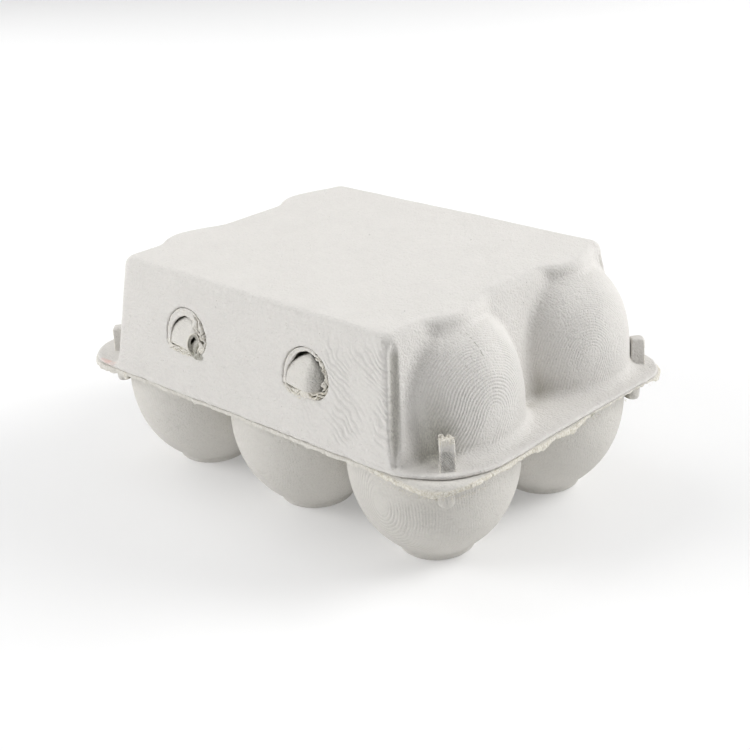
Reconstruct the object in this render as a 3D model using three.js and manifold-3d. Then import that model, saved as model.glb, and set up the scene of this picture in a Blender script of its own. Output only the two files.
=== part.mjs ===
// A shut moulded-pulp carton for six goose eggs: a tray of two rows of three bowls and the lid on it.
//
// Millimetres, +Z up. The origin is on the ground under the middle of the carton. +X runs along the
// rows of three and -Y points out of the front, where the two latches are.
//
// The carton is shut and nothing of its inside shows, so the lid and the tray are solid bodies.
// The tray is a flange with six bowls below it, a lug under each corner and two locking tongues,
// which stand up behind the lid's front wall and come out through its latch holes.

import * as THREE from 'three';
import { mergeVertices } from 'three/addons/utils/BufferGeometryUtils.js';
import Module from 'manifold-3d';

const wasm = await Module();
wasm.setup();

// ---- Driving dimensions ----

const PITCH = 72; // between egg centres, along and across
const HEIGHT = 106.3; // from the ground to the lid's flat top
const GAP = 0.3; // clearance between the lid and the tray

// Flanges, one on the other; the tray's reaches further out, most of all at its front right corner
const FLANGE_TOP = 54.4;
const FLANGE_THICKNESS = 1.6;
const FLANGE_HALF_X = 115.5;
const FLANGE_HALF_Y = 76.8;
const FLANGE_CORNER = 19.3;
const LID_FLANGE_INSET = 0.5;
const LID_FLANGE_CORNER = 21;
const LID_FLANGE_FRONT_RIGHT_CORNER = 33; // pressed rounder than the other three

// Lid: a box with sloping walls
const ROOF_HALF_X = 81.4;
const ROOF_HALF_Y = 68.8;
const WALL_FOOT_HALF_X = 88.8;
const WALL_FOOT_HALF_Y = 75.6;
const BOX_CORNER_FOOT = 4;
const BOX_CORNER_ROOF = 5.5;
const ROOF_EDGE = 3.5; // rounding of the roof's edge

// Grooves down the lid's four upright corners
const GROOVE_RADIUS = 1.9;
const GROOVE_FROM_CORNER = 3.6; // at its top, from the front or back wall's face to the groove's axis
const GROOVE_BELOW_ROOF = 5;

// Domes over the eggs at both short ends, and the necks where they meet the roof.
// The lid was pressed a little out of line with the tray, so its domes sit towards the back.
const DOME_X = 69.8;
const DOME_PITCH = 73.2;
const DOME_SET_BACK = 4.5;
const DOME_RADIUS = 37.1;
const DOME_WIDEST_Z = 58.3;
const DOME_RISE = 44.1;
const DOME_FULLNESS = 2.6; // 2 is an ellipse, more is fuller at the shoulder
const DOME_FILLET = 4;
const NECK_RADIUS = 18.6;
const NECK_BASE_Z = 90;
const WALL_SKIN = 0.8; // how far a dome's side stays inside the face of the front or back wall

// Locating posts on the lid's flange, which sit back as its domes do
const POST_X = 101.7;
const POST_PITCH = 128.4;
const POST_SET_BACK = 2.6;
const POST_HEIGHT = 12;
const POST_FOOT_HALF = 3.3;
const POST_TOP_HALF = 3;
const POST_EDGE = 1;

// Lugs under the tray's flange
const LUG_X = 101.8;
const LUG_Y = 62;
const LUG_RADIUS = 3.9;
const LUG_TIP_RADIUS = 3.1;
const LUG_TIP_Z = 38.7;

// Bowls: a quarter ellipse on a short round foot
const BOWL_RADIUS = 35.8;
const BOWL_WIDEST_Z = 42.1;
const BOWL_DEPTH = 43.8;
const FOOT_RADIUS = 16;
const FOOT_TOP_RADIUS = 17.2;
const FOOT_HEIGHT = 4.5;
const FOOT_EDGE = 1.2;

// Latches, measured across the front wall and up along it from the lid's flange
const LATCH_XS = [-36.4, 38.2];
const HOLE_HALF_WIDTH = 13.2;
const HOLE_BOTTOM = 17.4;
const HOLE_HEIGHT = 20.4;
const HOLE_CORNER = 4;
const HOLE_DEPTH = 7;
const TONGUE_HALF_WIDTH = 10.8;
const TONGUE_BOTTOM = 19;
const TONGUE_HEIGHT = 15.4;
const TONGUE_PROUD = 3; // how far the tongue's lower edge stands out of the wall
const STEM_HALF_WIDTH = 8;
const STEM_THICKNESS = 2.6;
const STEM_SETBACK = 2.6; // from the wall's face to the stem's

// How finely round forms are cut
const ROUND_STEPS = 30;
const ARC_STEPS = 4;
const BALL_STEPS = 20;

// Colours of the dried pulp
const LID_COLOUR = 0xdedad3;
const TRAY_COLOUR = 0xd2cec4;

// ---- Worked out from the dimensions above ----

const LID_BASE = FLANGE_TOP - FLANGE_THICKNESS;
const TRAY_TOP = LID_BASE - GAP;
const TRAY_BASE = TRAY_TOP - FLANGE_THICKNESS;
const WALL_RISE = HEIGHT - FLANGE_TOP;
const WALL_LEAN = Math.atan((WALL_FOOT_HALF_Y - ROOF_HALF_Y) / WALL_RISE);
const BOWL_XS = [-PITCH, 0, PITCH];
const BOWL_YS = [-PITCH / 2, PITCH / 2];
const DOME_XS = [-DOME_X, DOME_X];
const DOME_YS = [DOME_SET_BACK - DOME_PITCH / 2, DOME_SET_BACK + DOME_PITCH / 2];
const POST_XS = [-POST_X, POST_X];
const POST_YS = [POST_SET_BACK - POST_PITCH / 2, POST_SET_BACK + POST_PITCH / 2];
const LUG_XS = [-LUG_X, LUG_X];
const LUG_YS = [-LUG_Y, LUG_Y];

// ---- Helpers ----

// A closed geometry as a solid that can be joined and cut.
function toSolid(geometry) {
  const bare = geometry.clone();
  bare.deleteAttribute('normal');
  bare.deleteAttribute('uv');
  const merged = mergeVertices(bare, 1e-4);
  const mesh = new wasm.Mesh({
    numProp: 3,
    vertProperties: Float32Array.from(merged.attributes.position.array),
    triVerts: Uint32Array.from(merged.index.array),
  });
  return new wasm.Manifold(mesh);
}

function toGeometry(solid) {
  const mesh = solid.getMesh();
  const geometry = new THREE.BufferGeometry();
  geometry.setAttribute('position', new THREE.BufferAttribute(mesh.vertProperties, 3));
  geometry.setIndex(new THREE.BufferAttribute(mesh.triVerts, 1));
  const faceted = geometry.toNonIndexed();
  faceted.computeVertexNormals();
  return faceted;
}

function joinAll(solids) {
  return solids.reduce((whole, piece) => whole.add(piece));
}

// A round form about +Z from a profile of [radius, z], listed from the bottom to the top.
function turned(profile, steps = ROUND_STEPS) {
  const points = profile.map(([radius, z]) => new THREE.Vector2(radius, z));
  return new THREE.LatheGeometry(points, steps).rotateX(Math.PI / 2).rotateZ(Math.PI / steps);
}

// Points [radius, z] on an ellipse's arc, angles in degrees from level outwards.
function arc(centreR, centreZ, halfR, halfZ, fromDeg, toDeg, steps) {
  return Array.from({ length: steps + 1 }, (_, i) => {
    const angle = THREE.MathUtils.degToRad(fromDeg + ((toDeg - fromDeg) * i) / steps);
    return [centreR + halfR * Math.cos(angle), centreZ + halfZ * Math.sin(angle)];
  });
}

// A rectangle with rounded corners in the XY plane; the one at +X -Y may differ from the others.
function roundedRectangle(halfX, halfY, corner, frontRight = corner) {
  const shape = new THREE.Shape();
  shape.moveTo(halfX, frontRight - halfY);
  shape.absarc(halfX - corner, halfY - corner, corner, 0, Math.PI / 2);
  shape.absarc(corner - halfX, halfY - corner, corner, Math.PI / 2, Math.PI);
  shape.absarc(corner - halfX, corner - halfY, corner, Math.PI, 1.5 * Math.PI);
  shape.absarc(halfX - frontRight, frontRight - halfY, frontRight, 1.5 * Math.PI, 2 * Math.PI);
  return shape;
}

function extruded(shape, depth, curveSegments) {
  return new THREE.ExtrudeGeometry(shape, { depth, curveSegments, bevelEnabled: false });
}

// A closed form through level sections: each is a rounded rectangle { z, halfX, halfY, corner }.
function stacked(sections) {
  const rings = sections.map(({ halfX, halfY, corner }) => {
    const ring = roundedRectangle(halfX, halfY, corner).extractPoints(ARC_STEPS).shape;
    return ring.filter((point, i) => point.distanceTo(ring[(i + 1) % ring.length]) > 1e-6);
  });
  const count = rings[0].length;
  const positions = rings.flatMap((ring, level) => ring.flatMap(({ x, y }) => [x, y, sections[level].z]));
  const index = [];
  for (let level = 0; level + 1 < rings.length; level++) {
    for (let i = 0; i < count; i++) {
      const low = level * count + i;
      const next = level * count + ((i + 1) % count);
      index.push(low, next, next + count, low, next + count, low + count);
    }
  }
  const lastRing = (rings.length - 1) * count;
  for (const [a, b, c] of THREE.ShapeUtils.triangulateShape(rings[0], [])) {
    index.push(c, b, a, lastRing + a, lastRing + b, lastRing + c);
  }
  const geometry = new THREE.BufferGeometry();
  geometry.setAttribute('position', new THREE.Float32BufferAttribute(positions, 3));
  geometry.setIndex(index);
  return geometry;
}

// Moves a form drawn on the front wall to its place: its X stays, its Y runs up the wall from the
// lid's flange and its Z points out of the wall.
function onFrontWall(geometry, x, outwards) {
  return geometry
    .translate(x, 0, outwards)
    .rotateX(Math.PI / 2 - WALL_LEAN)
    .translate(0, -WALL_FOOT_HALF_Y, FLANGE_TOP);
}

// ---- Lid ----

function lidBox() {
  const levels = [{ z: LID_BASE, inset: 0 }];
  for (const [inset, z] of arc(0, HEIGHT - ROOF_EDGE, ROOF_EDGE, ROOF_EDGE, 0, 90, ARC_STEPS)) {
    levels.push({ z, inset: ROOF_EDGE - inset });
  }
  const sections = levels.map(({ z, inset }) => {
    const drop = (HEIGHT - z) / WALL_RISE;
    return {
      z,
      halfX: THREE.MathUtils.lerp(ROOF_HALF_X, WALL_FOOT_HALF_X, drop) - inset,
      halfY: THREE.MathUtils.lerp(ROOF_HALF_Y, WALL_FOOT_HALF_Y, drop) - inset,
      corner: THREE.MathUtils.lerp(BOX_CORNER_ROOF, BOX_CORNER_FOOT, drop),
    };
  });
  return stacked(sections);
}

function flange(baseZ, inset, corner, frontRight = corner) {
  const outline = roundedRectangle(FLANGE_HALF_X - inset, FLANGE_HALF_Y - inset, corner, frontRight);
  return extruded(outline, FLANGE_THICKNESS, 2 * ARC_STEPS).translate(0, 0, baseZ);
}

// A dome's quarter outline is a superellipse: its squared sine and cosine are raised to make it full.
function domeOutline(steps) {
  return Array.from({ length: steps + 1 }, (_, i) => {
    const angle = (Math.PI / 2) * (i / steps);
    const radius = DOME_RADIUS * Math.cos(angle) ** (2 / DOME_FULLNESS);
    return [radius, DOME_WIDEST_Z + DOME_RISE * Math.sin(angle) ** (2 / DOME_FULLNESS)];
  });
}

function dome() {
  const filletTopZ = FLANGE_TOP + DOME_FILLET;
  const profile = [
    [0, LID_BASE],
    [DOME_RADIUS + DOME_FILLET, LID_BASE],
    ...arc(DOME_RADIUS + DOME_FILLET, filletTopZ, DOME_FILLET, DOME_FILLET, 270, 180, 3),
    ...domeOutline(10).filter(([radius, z]) => z > filletTopZ + 1 && radius > 1),
    [0, DOME_WIDEST_Z + DOME_RISE],
  ];
  return turned(profile);
}

// The space between the planes of the front and back walls, reaching past both short ends.
function betweenWalls() {
  const reach = { halfX: 2 * FLANGE_HALF_X, corner: BOX_CORNER_FOOT };
  return stacked([
    { z: FLANGE_TOP, halfY: WALL_FOOT_HALF_Y - WALL_SKIN, ...reach },
    { z: HEIGHT, halfY: ROOF_HALF_Y - WALL_SKIN, ...reach },
  ]);
}

// The dome's top end, flush with the roof and rounded like its edge.
function neck() {
  const edgeRadius = NECK_RADIUS - ROOF_EDGE;
  const profile = [
    [0, NECK_BASE_Z],
    [NECK_RADIUS, NECK_BASE_Z],
    ...arc(edgeRadius, HEIGHT - ROOF_EDGE, ROOF_EDGE, ROOF_EDGE, 0, 90, ARC_STEPS),
    [0, HEIGHT],
  ];
  return turned(profile);
}

// A post's faces look along the diagonals of the carton.
function post() {
  const level = (z, half) => ({ z, halfX: half, halfY: half, corner: POST_EDGE });
  const buried = level(-FLANGE_THICKNESS / 2, POST_FOOT_HALF);
  const upright = stacked([buried, level(0, POST_FOOT_HALF), level(POST_HEIGHT, POST_TOP_HALF)]);
  return upright.rotateZ(Math.PI / 4).translate(0, 0, FLANGE_TOP);
}

// What is cut away down the corner at [x, y] = [1, 1]: a round groove, which starts in the middle of
// the rounded corner and ends beside it.
function groove() {
  const inset = BOX_CORNER_FOOT * (1 - Math.SQRT1_2);
  const foot = new THREE.Vector3(WALL_FOOT_HALF_X - inset, WALL_FOOT_HALF_Y - inset, FLANGE_TOP);
  const top = new THREE.Vector3(ROOF_HALF_X, ROOF_HALF_Y - GROOVE_FROM_CORNER, HEIGHT);
  const along = top.clone().sub(foot);
  const length = along.length() - GROOVE_BELOW_ROOF;
  const profile = [
    [0, 0],
    [GROOVE_RADIUS, 0],
    ...arc(0, length - GROOVE_RADIUS, GROOVE_RADIUS, GROOVE_RADIUS, 0, 90, ARC_STEPS).slice(0, -1),
    [0, length],
  ];
  const turn = new THREE.Quaternion().setFromUnitVectors(new THREE.Vector3(0, 0, 1), along.normalize());
  return turned(profile, 12).applyQuaternion(turn).translate(foot.x, foot.y, foot.z);
}

// A latch hole's outline: an arch with small lower corners.
function archShape(halfWidth, bottom, height, corner, grow = 0) {
  const half = halfWidth + grow;
  const low = bottom - grow;
  const spring = bottom + height - halfWidth;
  const shape = new THREE.Shape();
  shape.moveTo(corner - half, low);
  shape.absarc(half - corner, low + corner, corner, 1.5 * Math.PI, 2 * Math.PI);
  shape.absarc(0, spring, half, 0, Math.PI);
  shape.absarc(corner - half, low + corner, corner, Math.PI, 1.5 * Math.PI);
  return shape;
}

function latchHole(x) {
  const shape = archShape(HOLE_HALF_WIDTH, HOLE_BOTTOM, HOLE_HEIGHT, HOLE_CORNER);
  return onFrontWall(extruded(shape, 2 * HOLE_DEPTH, 2 * ARC_STEPS), x, -HOLE_DEPTH);
}

// ---- Tray ----

function bowl() {
  const ellipseRadius = FOOT_TOP_RADIUS + FOOT_EDGE / 2;
  const startDeg = -THREE.MathUtils.radToDeg(Math.acos(ellipseRadius / BOWL_RADIUS));
  const profile = [
    [0, 0],
    ...arc(FOOT_RADIUS - FOOT_EDGE, FOOT_EDGE, FOOT_EDGE, FOOT_EDGE, -90, 0, 2),
    [FOOT_TOP_RADIUS, FOOT_HEIGHT],
    ...arc(0, BOWL_WIDEST_Z, BOWL_RADIUS, BOWL_DEPTH, startDeg, 0, 8),
    [BOWL_RADIUS, TRAY_BASE + FLANGE_THICKNESS / 2],
    [0, TRAY_BASE + FLANGE_THICKNESS / 2],
  ];
  return turned(profile);
}

function lug() {
  const tipEdge = LUG_TIP_RADIUS / 2;
  const profile = [
    [0, LUG_TIP_Z],
    ...arc(LUG_TIP_RADIUS - tipEdge, LUG_TIP_Z + tipEdge, tipEdge, tipEdge, -90, 0, 3),
    [LUG_RADIUS, TRAY_BASE + FLANGE_THICKNESS / 2],
    [0, TRAY_BASE + FLANGE_THICKNESS / 2],
  ];
  return turned(profile, 16);
}

// The strip behind the front wall that carries a tongue, grown all round by `grow` for its slot.
function stem(x, grow = 0) {
  const bottom = (TRAY_BASE - FLANGE_TOP) / 2 - (grow > 0 ? FLANGE_THICKNESS : 0);
  const length = TONGUE_BOTTOM + TONGUE_HEIGHT / 2 - bottom;
  const strip = new THREE.BoxGeometry(2 * (STEM_HALF_WIDTH + grow), length, STEM_THICKNESS + 2 * grow);
  strip.translate(0, bottom + length / 2, -STEM_THICKNESS / 2);
  return onFrontWall(strip, x, -STEM_SETBACK);
}

// The tongue itself: half of a rounded form, with a level lower edge that hooks over the hole's.
function tongue(x) {
  const ball = new THREE.SphereGeometry(1, BALL_STEPS, BALL_STEPS / 2);
  ball.scale(TONGUE_HALF_WIDTH, TONGUE_HEIGHT, TONGUE_PROUD + STEM_SETBACK);
  const below = new THREE.BoxGeometry(4 * TONGUE_HALF_WIDTH, 2 * TONGUE_HEIGHT, 4 * TONGUE_HALF_WIDTH);
  below.translate(0, -TONGUE_HEIGHT, 0);
  const behind = new THREE.BoxGeometry(4 * TONGUE_HALF_WIDTH, 4 * TONGUE_HEIGHT, 2 * TONGUE_HALF_WIDTH);
  behind.translate(0, 0, -TONGUE_HALF_WIDTH - STEM_THICKNESS / 2);
  const half = toGeometry(toSolid(ball).subtract(toSolid(below)).subtract(toSolid(behind)));
  return onFrontWall(half.translate(0, TONGUE_BOTTOM, 0), x, -STEM_SETBACK);
}

// ---- The two pieces ----

// Every combination of the given places, as the solid moved there.
function spread(solid, xs, ys) {
  return xs.flatMap((x) => ys.map((y) => solid.translate([x, y, 0])));
}

function mirroredToCorners(solid) {
  const right = [solid, solid.mirror([0, 1, 0])];
  return [...right, ...right.map((piece) => piece.mirror([1, 0, 0]))];
}

function makeLid() {
  const domes = joinAll([
    ...spread(toSolid(dome()), DOME_XS, DOME_YS),
    ...spread(toSolid(neck()), DOME_XS, DOME_YS),
  ]);
  const joined = joinAll([
    toSolid(lidBox()),
    toSolid(flange(LID_BASE, LID_FLANGE_INSET, LID_FLANGE_CORNER, LID_FLANGE_FRONT_RIGHT_CORNER)),
    domes.intersect(toSolid(betweenWalls())),
    ...spread(toSolid(post()), POST_XS, POST_YS),
  ]);
  const cuts = [...mirroredToCorners(toSolid(groove()))];
  for (const x of LATCH_XS) {
    cuts.push(toSolid(latchHole(x)), toSolid(stem(x, GAP)));
  }
  return joined.subtract(joinAll(cuts));
}

function makeTray() {
  const pieces = [
    toSolid(flange(TRAY_BASE, 0, FLANGE_CORNER)),
    ...spread(toSolid(bowl()), BOWL_XS, BOWL_YS),
    ...spread(toSolid(lug()), LUG_XS, LUG_YS),
  ];
  for (const x of LATCH_XS) {
    pieces.push(toSolid(stem(x)), toSolid(tongue(x)));
  }
  return joinAll(pieces);
}

function pulpMesh(name, solid, color) {
  const material = new THREE.MeshStandardMaterial({ color, roughness: 0.95, metalness: 0 });
  const mesh = new THREE.Mesh(toGeometry(solid), material);
  mesh.name = name;
  return mesh;
}

const carton = new THREE.Group();
carton.add(pulpMesh('lid', makeLid(), LID_COLOUR));
carton.add(pulpMesh('tray', makeTray(), TRAY_COLOUR));

export default carton;
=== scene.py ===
"""A shut moulded-pulp carton for six goose eggs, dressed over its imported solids.

Sizes are in millimetres until a mesh is made, in the part's own frame: +X along the rows of three
bowls, -Y out of the front with the latches, +Z up, the ground at 0. The pulp is built as distance
fields, which are filleted into each other as pulp is, and then meshed. Torn edges are pieces of
their own on finer grids.
"""

import math

import bpy
import numpy as np
from mathutils import Matrix, Vector


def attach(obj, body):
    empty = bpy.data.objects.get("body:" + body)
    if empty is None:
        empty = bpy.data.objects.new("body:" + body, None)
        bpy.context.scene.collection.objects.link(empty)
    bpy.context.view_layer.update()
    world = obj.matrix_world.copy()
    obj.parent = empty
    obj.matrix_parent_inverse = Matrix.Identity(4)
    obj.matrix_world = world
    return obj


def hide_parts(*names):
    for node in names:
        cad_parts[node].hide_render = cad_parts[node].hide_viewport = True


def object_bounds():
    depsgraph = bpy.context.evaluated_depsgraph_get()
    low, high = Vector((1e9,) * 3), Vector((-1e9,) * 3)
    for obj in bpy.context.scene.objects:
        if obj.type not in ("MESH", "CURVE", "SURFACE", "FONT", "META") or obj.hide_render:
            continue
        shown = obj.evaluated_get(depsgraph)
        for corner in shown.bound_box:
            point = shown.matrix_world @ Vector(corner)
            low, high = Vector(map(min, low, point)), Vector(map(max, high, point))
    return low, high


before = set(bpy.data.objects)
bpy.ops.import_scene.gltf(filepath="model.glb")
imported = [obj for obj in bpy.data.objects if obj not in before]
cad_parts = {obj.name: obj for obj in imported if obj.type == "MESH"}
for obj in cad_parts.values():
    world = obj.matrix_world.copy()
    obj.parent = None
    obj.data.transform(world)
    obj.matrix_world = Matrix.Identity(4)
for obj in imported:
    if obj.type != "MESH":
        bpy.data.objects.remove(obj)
cad_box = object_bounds()

MM = 0.001


def new_object(name, data):
    made = bpy.data.objects.new(name, data)
    bpy.context.scene.collection.objects.link(made)
    return made


# ---- Camera ----

FOCAL_LENGTH = 67.99
AZIMUTH, ELEVATION, ROLL = (math.radians(v) for v in (45.19, 23.52, -3.57))
LOOK_AT = Vector((10.15, -5.33, 49.5)) * MM
DISTANCE = 635.96 * MM


def make_camera():
    away = Vector(
        (
            math.sin(AZIMUTH) * math.cos(ELEVATION),
            -math.cos(AZIMUTH) * math.cos(ELEVATION),
            math.sin(ELEVATION),
        )
    )
    level = Vector((math.cos(AZIMUTH), math.sin(AZIMUTH), 0))
    upright = away.cross(level)
    right = level * math.cos(ROLL) + upright * math.sin(ROLL)
    up = upright * math.cos(ROLL) - level * math.sin(ROLL)
    camera = new_object("camera", bpy.data.cameras.new("camera"))
    camera.data.lens = FOCAL_LENGTH
    camera.data.sensor_width = 36
    camera.data.clip_start = 0.01
    camera.matrix_world = Matrix.Translation(LOOK_AT + away * DISTANCE) @ Matrix(
        (right, up, away)
    ).transposed().to_4x4()
    bpy.context.scene.camera = camera


make_camera()


# ---- Sizes ----

# The whole carton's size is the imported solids' own, to a tenth of a millimetre
HALF_LENGTH, HALF_WIDTH, HEIGHT = (round(side / MM, 1) for side in cad_box[1])
PITCH = 72
FLANGE_TOP = 54.4
FLANGE_THICKNESS = 1.6
LID_BASE = FLANGE_TOP - FLANGE_THICKNESS
TRAY_TOP = LID_BASE - 0.3
TRAY_BASE = TRAY_TOP - FLANGE_THICKNESS
FLANGE_HALF = (HALF_LENGTH, HALF_WIDTH)
FLANGE_CORNER = 19.3
LID_FLANGE_INSET = 0.5
LID_FLANGE_CORNER = 21
LID_FLANGE_FRONT_RIGHT_CORNER = 33

ROOF_HALF = (81.4, 68.8)
FOOT_HALF = (88.8, 75.6)
BOX_CORNERS = (5.5, 4)
ROOF_EDGE = 3.5
WALL_LEAN = math.atan((FOOT_HALF[1] - ROOF_HALF[1]) / (HEIGHT - FLANGE_TOP))

CORNER_SIDES = [(sx, sy) for sx in (-1, 1) for sy in (-1, 1)]

DOMES = [(x, y) for x in (-69.8, 69.8) for y in (-32.1, 41.1)]
DOME_RADIUS = 37.1
DOME_WIDEST_Z = 58.3
DOME_RISE = 44.1
DOME_FULLNESS = 2.6
NECK_RADIUS = 18.6

# A groove runs from the middle of the rounded corner at its foot to beside it at its top
GROOVE_RADIUS = 1.9
GROOVE_FROM_CORNER = 3.6
GROOVE_FOOT_INSET = BOX_CORNERS[1] * (1 - math.sqrt(0.5))

# Posts on the lid's flange: (x, y, height, how ragged the top is)
POSTS = (
    (102.2, -61.1, 13.1, 1),
    (101, 66.2, 11.4, 0.1),
    (-101.2, -61.6, 11.2, 0.1),
    (-101.7, 66.8, 11.2, 0.1),
)
LUGS = [(x, y) for x in (-101.8, 101.8) for y in (-62, 62)]
LUG_TIP_Z = 38.7
LUG_TIP_RADIUS, LUG_TAPER = 3.1, 0.8

BOWL_RADIUS = 35.8
BOWL_WIDEST_Z = 42.1
BOWL_DEPTH = 43.8
FOOT_RADIUS = 16
BOWLS = [(x, y) for x in (-PITCH, 0, PITCH) for y in (-PITCH / 2, PITCH / 2)]

LATCH_XS = (-36.4, 38.2)
HOLE_HALF_WIDTH = 13.2
HOLE_BOTTOM = 17.4
HOLE_SPRING = 24.6


# ---- Noise ----


def spline_weights(axis, size):
    """Cubic weights that turn random values spaced `size` apart into a smooth run along the axis."""
    steps = (axis - axis[0]) / size
    base = np.floor(steps).astype(int)
    part = steps - base
    weights = np.zeros((len(axis), base[-1] + 4))
    rows = np.arange(len(axis))
    weights[rows, base] = (1 - part) ** 3 / 6
    weights[rows, base + 1] = (3 * part**3 - 6 * part**2 + 4) / 6
    weights[rows, base + 2] = (-3 * part**3 + 3 * part**2 + 3 * part + 1) / 6
    weights[rows, base + 3] = part**3 / 6
    return weights


def grid_noise(axes, sizes, seed):
    """Smooth noise of about -1 to 1 on a grid, in lumps of the given sizes."""
    weights = [spline_weights(axis, size) for axis, size in zip(axes, sizes)]
    values = np.random.default_rng(seed).uniform(-1, 1, [w.shape[1] for w in weights])
    for w in reversed(weights):
        values = np.tensordot(w, values, axes=(1, len(weights) - 1))
    return (2.2 * values).astype(np.float32)


def run_noise(axis, size, seed):
    """Smooth noise of about -1 to 1 along one axis, shaped to spread over a grid."""
    return grid_noise([axis], [size], seed)[:, None, None] * 0.6


def point_noise(points, size, seed):
    """Smooth noise of about -1 to 1 at any points, in lumps of one size."""
    table = np.random.default_rng(seed).uniform(-1, 1, (32, 32, 32))
    steps = np.asarray(points, float) / size + 1000.5
    base = np.floor(steps).astype(int)
    part = steps - base
    part = part * part * (3 - 2 * part)
    total = 0
    for corner in range(8):
        offset = np.array([corner & 1, corner >> 1 & 1, corner >> 2 & 1])
        share = np.where(offset, part, 1 - part).prod(axis=-1)
        i, j, k = ((base + offset) % 32).T
        total = total + share * table[i, j, k]
    return total


def smooth_step(low, high, value):
    t = np.clip((value - low) / (high - low), 0, 1)
    return t * t * (3 - 2 * t)


def bump_at(value, centre, half):
    """1 at the centre, falling smoothly to 0 at `half` to either side."""
    return smooth_step(half, 0, np.abs(value - centre))


def window(start, full, last, end, value):
    """0 up to the start, 1 from `full` to `last` and 0 again from the end on, with soft steps."""
    return smooth_step(start, full, value) * smooth_step(end, last, value)


# ---- Distance fields ----


def fillet_union(a, b, radius):
    corner = np.hypot(np.maximum(radius - a, 0), np.maximum(radius - b, 0))
    return np.maximum(radius, np.minimum(a, b)) - corner


def round_cut(a, b, radius):
    """What a and b share, its edge rounded."""
    return -fillet_union(-a, -b, radius)


def taken_out(a, b, radius):
    """a without b, the edge rounded."""
    return round_cut(a, -b, radius)


def rounded_rectangle(u, v, half_u, half_v, corner):
    qu = np.abs(u) - half_u + corner
    qv = np.abs(v) - half_v + corner
    outside = np.hypot(np.maximum(qu, 0), np.maximum(qv, 0))
    return outside + np.minimum(np.maximum(qu, qv), 0) - corner


def full_round(radial, axial, radius, rise, fullness):
    """Near its surface, the distance from a superellipse turned about +Z."""
    a = np.maximum(radial / radius, 1e-4)
    b = np.maximum(axial / rise, 1e-4)
    total = a**fullness + b**fullness
    size = total ** (1 / fullness)
    slope = np.hypot(a ** (fullness - 1) / radius, b ** (fullness - 1) / rise)
    slope = slope * total ** (1 / fullness - 1)
    return (size - 1) / slope


class Field:
    """The grid of a distance field; its lines may be closer together where there is more to show."""

    def __init__(self, xs, ys, zs):
        self.axes = [np.asarray(a, np.float32) for a in (xs, ys, zs)]
        self.x = self.axes[0][:, None, None]
        self.y = self.axes[1][None, :, None]
        self.z = self.axes[2][None, None, :]

    def near(self, low, high):
        """The slices of the grid between two corners, and the coordinates there."""
        i, j, k = (slice(*np.searchsorted(a, ends)) for a, ends in zip(self.axes, zip(low, high)))
        return (i, j, k), self.x[i], self.y[:, j], self.z[:, :, k]

    def round_about(self, x, y, reach):
        """The same round a place in plan, at all heights."""
        return self.near((x - reach, y - reach, -9), (x + reach, y + reach, 200))

    def noise(self, sizes, seed):
        if np.isscalar(sizes):
            sizes = (sizes,) * 3
        return grid_noise(self.axes, sizes, seed)

    def torn_surface(self, body):
        """The body's surface without the scraps that its roughness cuts loose."""
        return without_scraps(*surface_net(self.axes, body.astype(np.float32)))


def surface_net(axes, field):
    """Vertices and four-sided faces of the surface where the field is 0."""
    inside = field < 0
    nx, ny, nz = field.shape
    count = np.zeros((nx - 1, ny - 1, nz - 1), np.int8)
    for a, b, c in np.ndindex(2, 2, 2):
        count += inside[a : nx - 1 + a, b : ny - 1 + b, c : nz - 1 + c]
    cells = np.argwhere((count > 0) & (count < 8))
    ids = np.full(count.shape, -1, np.int32)
    ids[tuple(cells.T)] = np.arange(len(cells))
    total = np.zeros((len(cells), 3))
    hits = np.zeros(len(cells))
    for along in range(3):
        others = [d for d in range(3) if d != along]
        for corner in np.ndindex(2, 2):
            near = cells.copy()
            near[:, others] += corner
            far = near.copy()
            far[:, along] += 1
            f0 = field[tuple(near.T)]
            f1 = field[tuple(far.T)]
            rows = np.nonzero((f0 < 0) != (f1 < 0))[0]
            part = f0[rows] / (f0[rows] - f1[rows])
            place = np.stack([axes[d][near[rows, d]] for d in range(3)], axis=1)
            step = axes[along][far[rows, along]] - axes[along][near[rows, along]]
            place[:, along] += part * step
            total[rows] += place
            hits[rows] += 1
    vertices = total / hits[:, None]
    faces = []
    for along in range(3):
        u, v = [d for d in range(3) if d != along]
        low = inside.take(range(field.shape[along] - 1), along)
        high = inside.take(range(1, field.shape[along]), along)
        for crossing, flip in ((low & ~high, along == 1), (~low & high, along != 1)):
            edges = np.argwhere(crossing)
            quad = []
            for du, dv in ((-1, -1), (0, -1), (0, 0), (-1, 0)):
                cell = edges.copy()
                cell[:, u] += du
                cell[:, v] += dv
                quad.append(ids[tuple(cell.T)])
            if flip:
                quad.reverse()
            faces.append(np.stack(quad, axis=1))
    return vertices, np.concatenate(faces)


def without_scraps(vertices, faces):
    """The largest connected part of a mesh."""
    label = np.arange(len(vertices))
    while True:
        low = label[faces].min(axis=1)
        spread = label.copy()
        for column in faces.T:
            np.minimum.at(spread, column, low)
        spread = spread[spread]
        if (spread == label).all():
            break
        label = spread
    keep = label == np.bincount(label).argmax()
    number = np.cumsum(keep) - 1
    return vertices[keep], number[faces[keep[faces[:, 0]]]]


def lines(start, *stretches):
    """Grid lines from the start on, through stretches of (end, spacing)."""
    parts = []
    for end, spacing in stretches:
        parts.append(np.linspace(start, end, max(2, round((end - start) / spacing) + 1))[:-1])
        start = end
    return np.concatenate([*parts, [start]])


# ---- Lid ----


def on_front_wall(x, y, z, centre):
    """Coordinates on the front wall: across, up from the flange and outwards."""
    up = (y + FOOT_HALF[1]) * math.sin(WALL_LEAN) + (z - FLANGE_TOP) * math.cos(WALL_LEAN)
    out = (z - FLANGE_TOP) * math.sin(WALL_LEAN) - (y + FOOT_HALF[1]) * math.cos(WALL_LEAN)
    return x - centre, up, out


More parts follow.
